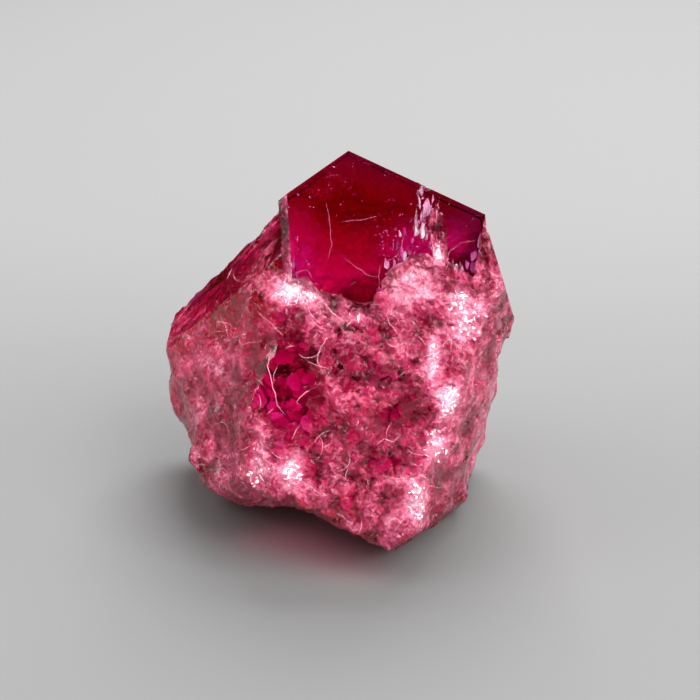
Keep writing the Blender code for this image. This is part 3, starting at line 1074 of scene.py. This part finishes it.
dice = random.Random(CRUMB_SEED)
crumb_verts, crumb_faces = [], []
crumbs_made = 0
for _ in range(CRUMB_TRIES):
    spot, normal = front_skin(dice.uniform(*CRUMB_X), dice.uniform(*CRUMB_Y))
    size = dice.uniform(*CRUMB_SIZES)
    if spot is None or spot.z > END_FACE_LEVEL:
        continue
    if frost_at(spot) + dice.gauss(0, FROST_CHANCE) < FROST_FOR_CRUMBS:
        continue
    crumb = crumb_hull(dice, spot - normal * CRUMB_SUNK * size, size)
    first = len(crumb_verts)
    crumb_verts += [vert.co.copy() for vert in crumb.verts]
    crumb_faces += [[first + vert.index for vert in face.verts] for face in crumb.faces]
    crumb.free()
    crumbs_made += 1
print("crumbs:", crumbs_made)
crumb_stone = cloudy_material(
    "crumb_stone", dark=(0.95, 0.50, 0.62), pale=(1.0, 0.80, 0.86), cloud_size=0.12, roughness=0.14
)
piece_from_lists("crumbs", crumb_verts, crumb_faces, crumb_stone)

# %% [markdown]
# ## Floor
#
# The floor is a plain pale sheet. Its grey is painted a little darker towards the viewer, a painted shade
# for light that falls away, as on a sheet under a window. One smooth change of grey along Y does that. It
# reflects nothing, so the stone's shadow stays soft and clean.

# %% Lay the floor
FLOOR_HALF_WIDTH = 1.2
# Painted shade: the floor's grey darkens towards the viewer between these two places.
DARKER_END, PALER_END = -0.004, 0.026  # Y in metres
DARKER, PALER = 0.122, 0.148

floor_mesh = bmesh.new()
bmesh.ops.create_grid(floor_mesh, x_segments=2, y_segments=2, size=FLOOR_HALF_WIDTH)
floor_data = bpy.data.meshes.new("floor")
floor_mesh.to_mesh(floor_data)
floor_mesh.free()
floor_paint, nodes, links = new_material("pale_floor")
shader = nodes["Principled BSDF"]
shader.inputs["Roughness"].default_value = 0.8
shader.inputs["Specular IOR Level"].default_value = 0.0
apart = nodes.new("ShaderNodeSeparateXYZ")
links.new(nodes.new("ShaderNodeTexCoord").outputs["Object"], apart.inputs["Vector"])
painted_falloff_grey = span(nodes, links, apart.outputs["Y"], DARKER_END, PALER_END, DARKER, PALER, "SMOOTHERSTEP")
grey = nodes.new("ShaderNodeCombineColor")
for socket in grey.inputs[:3]:
    links.new(painted_falloff_grey, socket)
links.new(grey.outputs["Color"], shader.inputs["Base Color"])
floor_data.materials.append(floor_paint)
floor = bpy.data.objects.new("floor", floor_data)
bpy.context.scene.collection.objects.link(floor)
print("floor greys from front to back:", DARKER, "to", PALER)

# %% [markdown]
# ## Light
#
# A clear stone shows the light that enters it, turns round at the veil and comes back out. Here most of
# that light is the pale room itself, and a soft lamp in front, at the right and above, which shines into
# the end face. A wide soft window high behind brightens the floor round the stone. Weak lamps high in
# front and at both sides wake up glints on the broken skin. A faint red glow lies under the front, where
# light that has crossed the stone reaches the floor. The window behind doesn't show in reflections: seen
# from the left, a flat crystal face would mirror it and turn quite white.

# %% Hang the lamps
DAYLIGHT = (1.0, 1.0, 1.0)
WARM = (1.0, 0.86, 0.80)
LAMPS = [
    # name, azimuth, elevation, metres away, metres wide, watts, tint
    ("window_behind", 168, 55, 0.11, 0.080, 0.340, DAYLIGHT),
    ("high_in_front", -20, 70, 0.10, 0.070, 0.055, DAYLIGHT),
    ("front_right", 38, 42, 0.10, 0.070, 0.170, DAYLIGHT),
    ("left_lamp", -75, 42, 0.10, 0.050, 0.035, DAYLIGHT),
    ("right_card", 80, 18, 0.10, 0.040, 0.030, WARM),
]
stone_middle = (cad_low + cad_high) / 2


def area_lamp(name, place, rotation, width, height, watts, tint):
    """A soft rectangular lamp."""
    data = bpy.data.lights.new(name, "AREA")
    data.shape = "RECTANGLE"
    data.size = width
    data.size_y = height
    data.energy = watts
    data.color = tint
    lamp = bpy.data.objects.new(name, data)
    lamp.location = place
    lamp.rotation_mode = "QUATERNION"
    lamp.rotation_quaternion = rotation
    bpy.context.scene.collection.objects.link(lamp)
    return lamp


def lamp_on_stone(name, azimuth, elevation, distance, size, watts, tint):
    """A square lamp that faces the stone. Azimuth 0 is in front and 90 to the right."""
    turn, rise = math.radians(azimuth), math.radians(elevation)
    away = Vector((math.sin(turn) * math.cos(rise), -math.cos(turn) * math.cos(rise), math.sin(rise)))
    place = stone_middle + away * distance
    return area_lamp(name, place, away.to_track_quat("Z", "Y"), size, size, watts, tint)


lamps = {row[0]: lamp_on_stone(*row) for row in LAMPS}
lamps["window_behind"].visible_glossy = False
print("lamps:", ", ".join(lamps))

# %% Add the glow and the light of the room
THROUGH_THE_STONE = (1.0, 0.22, 0.34)
GLOW_PLACE = Vector((-0.0008, -0.0022, 0.0006))
GLOW_TURN = Quaternion((0, 0, 1), math.radians(-35.0))
GLOW_LENGTH, GLOW_WIDTH = 0.0035, 0.0014
GLOW_WATTS = 0.000018
ROOM_BRIGHTNESS = 0.78

glow = area_lamp(
    "glow_through", GLOW_PLACE, GLOW_TURN, GLOW_LENGTH, GLOW_WIDTH, GLOW_WATTS, THROUGH_THE_STONE
)
glow.visible_glossy = False
glow.visible_transmission = False

world = bpy.data.worlds.new("room")
bpy.context.scene.world = world
world.use_nodes = True
world.node_tree.nodes["Background"].inputs["Color"].default_value = (1.0, 1.0, 1.0, 1.0)
world.node_tree.nodes["Background"].inputs["Strength"].default_value = ROOM_BRIGHTNESS
bpy.context.scene.view_settings.view_transform = "Standard"
print("room brightness:", ROOM_BRIGHTNESS)

# %% [markdown]
# Two black cards keep the red deep. One stands in front, where a flat face that looks at the lens would
# mirror the bright room, and a low one stands behind. They show only in reflections, and take no light from
# the stone or the floor.

# %% Stand the black cards
CARD_HALF_WIDTH = 0.045
CARD_BLACK = 0.004
to_lens = Vector((0.0, -math.cos(LEAN_BACK), math.sin(LEAN_BACK)))
end_face_middle = to_room @ Vector((0, 0, 0))
CARDS = {
    # name: (place, the way it faces, times the card's own size)
    "card_in_front": (end_face_middle + to_lens * 0.055, to_lens, 2.0),
    "card_behind": (Vector((0.0, 0.016, 0.0)), Vector((0.0, 1.0, 0.0)), 0.55),
}

card_mesh = bmesh.new()
bmesh.ops.create_grid(card_mesh, x_segments=1, y_segments=1, size=CARD_HALF_WIDTH)
card_data = bpy.data.meshes.new("black_card")
card_mesh.to_mesh(card_data)
card_mesh.free()
velvet, nodes, _ = new_material("black_velvet")
shader = nodes["Principled BSDF"]
shader.inputs["Base Color"].default_value = (CARD_BLACK, CARD_BLACK, CARD_BLACK, 1.0)
shader.inputs["Roughness"].default_value = 1.0
shader.inputs["Specular IOR Level"].default_value = 0.0
card_data.materials.append(velvet)
for name, (spot, facing, size) in CARDS.items():
    card = bpy.data.objects.new(name, card_data)
    card.location = spot
    card.scale = (size, size, size)
    card.rotation_mode = "QUATERNION"
    card.rotation_quaternion = facing.to_track_quat("Z", "Y")
    card.visible_camera = False
    card.visible_shadow = False
    card.visible_diffuse = False
    card.visible_transmission = False
    bpy.context.scene.collection.objects.link(card)
print("black cards:", ", ".join(CARDS))

# %% [markdown]
# ## Camera
#
# The camera looks straight at the flat end face through a long lens, so the stone keeps its proportions.
# Its distance follows from the width it has to show.

# %% Place the camera
LENS = 100.0
SENSOR = 36.0
VIEW_WIDTH = 14.0  # millimetres seen across at the end face
camera_distance = VIEW_WIDTH * LENS / SENSOR * MM
camera_data = bpy.data.cameras.new("camera")
camera_data.lens = LENS
camera_data.sensor_width = SENSOR
camera_data.clip_start = 0.001
camera_data.clip_end = 10.0
camera = bpy.data.objects.new("camera", camera_data)
camera.location = end_face_middle + to_lens * camera_distance
camera.rotation_mode = "QUATERNION"
camera.rotation_quaternion = to_lens.to_track_quat("Z", "Y")
bpy.context.scene.collection.objects.link(camera)
bpy.context.scene.camera = camera
print("the camera is %.0f mm from the end face" % (camera_distance / MM))
